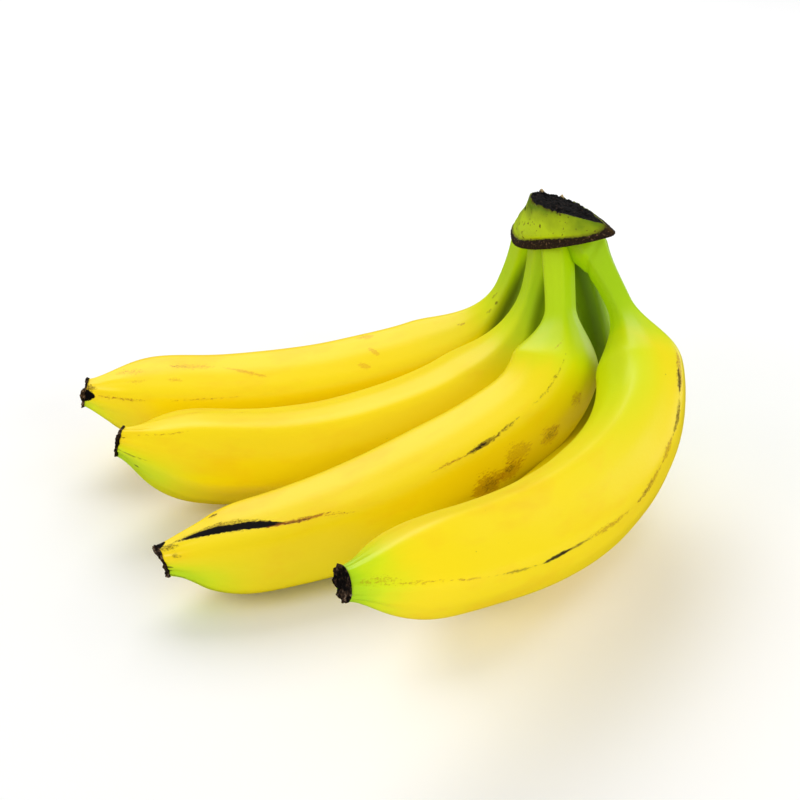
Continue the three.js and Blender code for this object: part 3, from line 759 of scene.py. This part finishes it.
def makeCrown():
    bm = bmesh.new()
    zone = bm.verts.layers.float_vector.new("zone")
    ring = bmesh.ops.create_circle(bm, segments=crown["sides"], radius=1)["verts"]
    for vert in ring:
        vert[zone] = (0, 0, math.atan2(vert.co.y, vert.co.x))

    def placeVert(vert, row):
        share, height = row
        around = vert[zone].z
        toLeft = -math.cos(around)
        if share > crown["waistShare"]:
            narrow = rising(toLeft, *crown["waistSpan"]) * math.sin(math.pi * height)
            share -= crown["waist"] * narrow
        low = ovalPoint(crown["underside"], around, share)
        high = ovalPoint(crown["cut"], around, share)
        low.z += crown["cornerLift"] * rising(toLeft, *crown["cornerSpan"]) * share
        place = low.lerp(high, height)
        thickness = (high - low).length
        right = (1 - toLeft) / 2
        ledge = crown["ledgeThick"] * (1 - math.exp(-right / crown["ledgeReach"]))
        ledge *= 1 - crown["ledgeThins"] * rising(right, *crown["thinSpan"])
        aboveLedge = height * thickness - ledge
        belowCut = (1 - height) * thickness if share > crown["rimShare"] else crown["inCut"]
        # the ledge stands proud and is torn, and the flesh swells out above it
        middle = place - ovalPoint(crown["underside"], around, 0).lerp(
            ovalPoint(crown["cut"], around, 0), height)
        out = middle.normalized() if middle.length else Vector((0, 0, 1))
        rough = sum(noise.noise(place * pitch) * depth for pitch, depth in crown["lumps"])
        if height > 0:
            proud = 1 - rising(aboveLedge, *crown["edgeSpan"])
            torn = rough * crown["tornRim"] + crown["tornOut"]
            groove = crown["groove"] * bell(aboveLedge / crown["grooveWidth"])
            place += out * (proud * torn - (1 - proud) * groove)
        # the cut is crumbled away and bites down on the near side
        crumbled = rising(height, *crown["crumbSpan"])
        degrees = math.degrees(around)
        dip = crown["dip"] * bell((degrees - crown["dipTurn"]) / crown["dipWidth"]) * share
        crumbs = noise.noise(place * 0.5 + Vector((7, 0, 0))) * 0.5 + rough
        crust = crown["crust"] * (crown["crustDepth"] + crumbs) * min(1, share * 3)
        place.z -= crumbled * (dip + crust)
        lip = crown["lip"] * bell((degrees - crown["lipTurn"]) / crown["lipWidth"])
        place.z += lip * rising(height, *crown["lipSpan"]) * rising(share, *crown["lipRim"])
        for frayTurn, tall, width in crown["frays"]:
            fibre = bell((degrees - frayTurn) / width) * rising(share, *crown["fraySpan"])
            if height == 1:
                place.z += tall * fibre
                belowCut -= crown["frayMark"] * fibre
        uneven = abs(noise.noise(place * 0.8)) * crown["topUneven"]
        place.z = min(place.z, crown["top"] - uneven)
        vert.co = (place + bunchShift) * mm
        vert[zone] = (aboveLedge, belowCut, around)

    pullRings(bm, ring, spreadRows(crown["outline"], crown["ringsBetween"]), placeVert)
    finishMesh(bm, "crown_stem", makeCrownMaterial(), ["crown"])


makeCrown()
print("crown made")


# Dried flower end: a dead, brown-black flaky stub on each tip. Each outline point is a share
# of the radius and a share of the length. Knobs are the hard stumps of old petals: the turn
# round the tip, how far out and ahead they stand and how wide they are. Where ahead is less
# than nothing, the stub is thin. Flakes are noise, as (times per mm, depth), and spans are as
# on the crown.
flowerEnd = {
    "radius": 5.75, "sides": 120,
    "outline": [
        (0.6, -0.5), (0.9, -0.3), (0.97, 0), (1, 0.2), (1.01, 0.45), (0.99, 0.7), (0.94, 0.9),
        (0.88, 1), (0.8, 0.97), (0.7, 0.8), (0.6, 0.6), (0.5, 0.5), (0.38, 0.5), (0.25, 0.6),
        (0.12, 0.7), (0.02, 0.7),
    ],
    "ringsBetween": 3, "flakes": ((0.45, 1), (1.3, 0.6)), "flaking": 0.75, "fraying": 0.6,
    "frayInward": 0.25, "flakesInside": 0.35, "rimSpan": (0.5, 0.9), "edgeSpan": (0, 0.5),
    "joinSpan": (-0.5, 0.5),
    "knobs": {
        "banana_1": [(287, 0.7, 0.7, 14), (350, -0.2, -0.9, 38), (60, 0.2, 0.8, 24)],
        "banana_2": [(300, 0.7, 0.7, 16), (345, -0.1, -0.7, 26), (62, 0.2, 0.8, 28)],
        "banana_3": [(322, 0.4, 1.0, 24), (90, -0.1, -0.7, 48)],
        "banana_4": [(330, 0.1, 0.3, 20), (200, 0.1, 0.2, 20)],
        "banana_5": [(60, 0.3, 0.3, 20)],
    },
    "dark": "#120c09", "bark": "#45301f", "ash": "#a08a74", "specular": 0.2,
}


def makeFlowerMaterial():
    material = newMaterial("dried flower scar")
    place = addNode(material, "ShaderNodeTexCoord").outputs["Object"]
    # flakes of 1.5 mm over bark of 4.5 mm
    flakes = addNode(material, "ShaderNodeTexNoise", inputs={
        "Vector": place, "Scale": 650.0, "Detail": 5.0, "Roughness": 0.7}).outputs[0]
    bark = addNode(material, "ShaderNodeTexNoise", inputs={
        "Vector": place, "Scale": 220.0, "Detail": 2.0}).outputs[0]
    tone = addNode(material, "ShaderNodeMath", {"operation": "MULTIPLY_ADD"},
                   {0: bark, 1: 0.5, 2: flakes}).outputs[0]
    ramp = addNode(material, "ShaderNodeValToRGB", inputs={0: tone})
    stops = ramp.color_ramp.elements
    stops[0].position = 0.69
    stops[0].color = linear(flowerEnd["dark"])
    stops[1].position = 0.97
    stops[1].color = linear(flowerEnd["ash"])
    stops.new(0.82).color = linear(flowerEnd["bark"])
    bump = addNode(material, "ShaderNodeBump", inputs={
        "Height": flakes, "Strength": 0.9, "Distance": 0.0008})
    shader = addNode(material, "ShaderNodeBsdfPrincipled", inputs={
        "Base Color": ramp.outputs[0], "Roughness": 0.88,
        "Specular IOR Level": flowerEnd["specular"], "Normal": bump.outputs[0]})
    addNode(material, "ShaderNodeOutputMaterial", inputs={0: shader.outputs[0]})
    return material


def makeFlowerEnd(name, b, material):
    trim = b.get("peelTrim", growth["peelTrim"])
    tip = centreLine(b, growth["neckTop"], trim, growth["stepsAlong"])[-1]
    along, inner, side = tip["axes"]
    bm = bmesh.new()
    turned = bm.verts.layers.float.new("turned")
    ring = bmesh.ops.create_circle(bm, segments=flowerEnd["sides"], radius=1)["verts"]
    for vert in ring:
        vert[turned] = math.atan2(vert.co.y, vert.co.x)

    def placeVert(vert, row):
        share, height = row
        angle = vert[turned]
        radius = share * flowerEnd["radius"]
        outward = inner * math.cos(angle) + side * math.sin(angle)
        place = tip["point"] + outward * radius
        place += along * (height * b["scarLength"] + scarShift(b, radius, angle))
        flakes = sum(noise.noise(place * pitch) * depth for pitch, depth in flowerEnd["flakes"])
        rim = rising(share, *flowerEnd["rimSpan"]) * rising(height, *flowerEnd["edgeSpan"])
        flaky = flowerEnd["flakesInside"] + (1 - flowerEnd["flakesInside"]) * rim
        ahead = flowerEnd["flaking"] * flakes * flaky * rising(height, *flowerEnd["joinSpan"])
        proud = flowerEnd["fraying"] * (flakes - flowerEnd["frayInward"]) * rim
        for knobTurn, out, forward, width in flowerEnd["knobs"][name]:
            off = (math.degrees(angle) - knobTurn + 180) % 360 - 180
            knob = bell(off / width) * rim
            proud += out * knob
            ahead += forward * knob
        vert.co = (place + along * ahead + outward * proud + bunchShift) * mm
        # nothing stands out of the solid model's box at the front
        vert.co.y = max(vert.co.y, cadBox[0][1])

    rows = spreadRows(flowerEnd["outline"], flowerEnd["ringsBetween"])
    pullRings(bm, ring, rows, placeVert)
    node = name.replace("banana", "blossom_end")
    finishMesh(bm, node + "_dried", material, [node])


flowerMaterial = makeFlowerMaterial()
for name, b in bananas.items():
    makeFlowerEnd(name, b, flowerMaterial)
print("flower ends made")

# Pale table, soft light and the camera.
studio = {
    "table": "#fafafa", "tableHalf": 4000, "sky": "#ffffff", "skyStrength": 0.56,
    "cameraAt": (-8.4, -573.73, 394.49), "lookDown": 29.53, "focalPixels": 1952.6,
    "photoWidth": 800, "sensorWidth": 36,
    "lamps": [
        # place, aim, width, power in watts and whether it shows in the wax
        ((-125, 590, 720), (0, 0, 40), 700, 4.0, True),
        ((560, 480, 130), (60, 20, 50), 260, 0.5, True),
        ((-650, -500, 600), (0, 0, 50), 520, 1.9, False),
        ((560, -620, 420), (20, 0, 50), 520, 2.6, False),
    ],
}


def makeStudio():
    material = newMaterial("matt white table")
    shader = addNode(material, "ShaderNodeBsdfPrincipled", inputs={
        "Base Color": linear(studio["table"]), "Roughness": 0.9})
    addNode(material, "ShaderNodeOutputMaterial", inputs={0: shader.outputs[0]})
    bm = bmesh.new()
    bmesh.ops.create_grid(bm, x_segments=1, y_segments=1, size=studio["tableHalf"] * mm)
    mesh = bpy.data.meshes.new("table")
    bm.to_mesh(mesh)
    bm.free()
    mesh.materials.append(material)
    table = bpy.data.objects.new("table", mesh)
    bpy.context.scene.collection.objects.link(table)
    table.visible_glossy = False  # or the whole underside of the wax would look milky

    for number, (place, aim, width, power, shows) in enumerate(studio["lamps"]):
        light = bpy.data.lights.new("softbox " + str(number + 1), "AREA")
        light.size = width * mm
        light.energy = power
        lamp = bpy.data.objects.new(light.name, light)
        lamp.location = Vector(place) * mm
        lamp.visible_glossy = shows
        away = Vector(place) - Vector(aim)
        lamp.rotation_euler = away.to_track_quat("Z", "Y").to_euler()
        bpy.context.scene.collection.objects.link(lamp)

    world = bpy.data.worlds.new("soft white room")
    world.use_nodes = True
    background = world.node_tree.nodes["Background"]
    background.inputs["Color"].default_value = linear(studio["sky"])
    background.inputs["Strength"].default_value = studio["skyStrength"]
    world.cycles_visibility.glossy = False
    bpy.context.scene.world = world

    view = bpy.data.cameras.new("camera")
    view.sensor_width = studio["sensorWidth"]
    view.lens = studio["focalPixels"] / studio["photoWidth"] * studio["sensorWidth"]
    view.clip_start = 0.01
    camera = bpy.data.objects.new("camera", view)
    camera.location = (Vector(studio["cameraAt"]) + bunchShift) * mm
    camera.rotation_euler = (math.radians(90 - studio["lookDown"]), 0, 0)
    bpy.context.scene.collection.objects.link(camera)
    bpy.context.scene.camera = camera
    bpy.context.scene.view_settings.view_transform = "Standard"


makeStudio()
print("studio made")
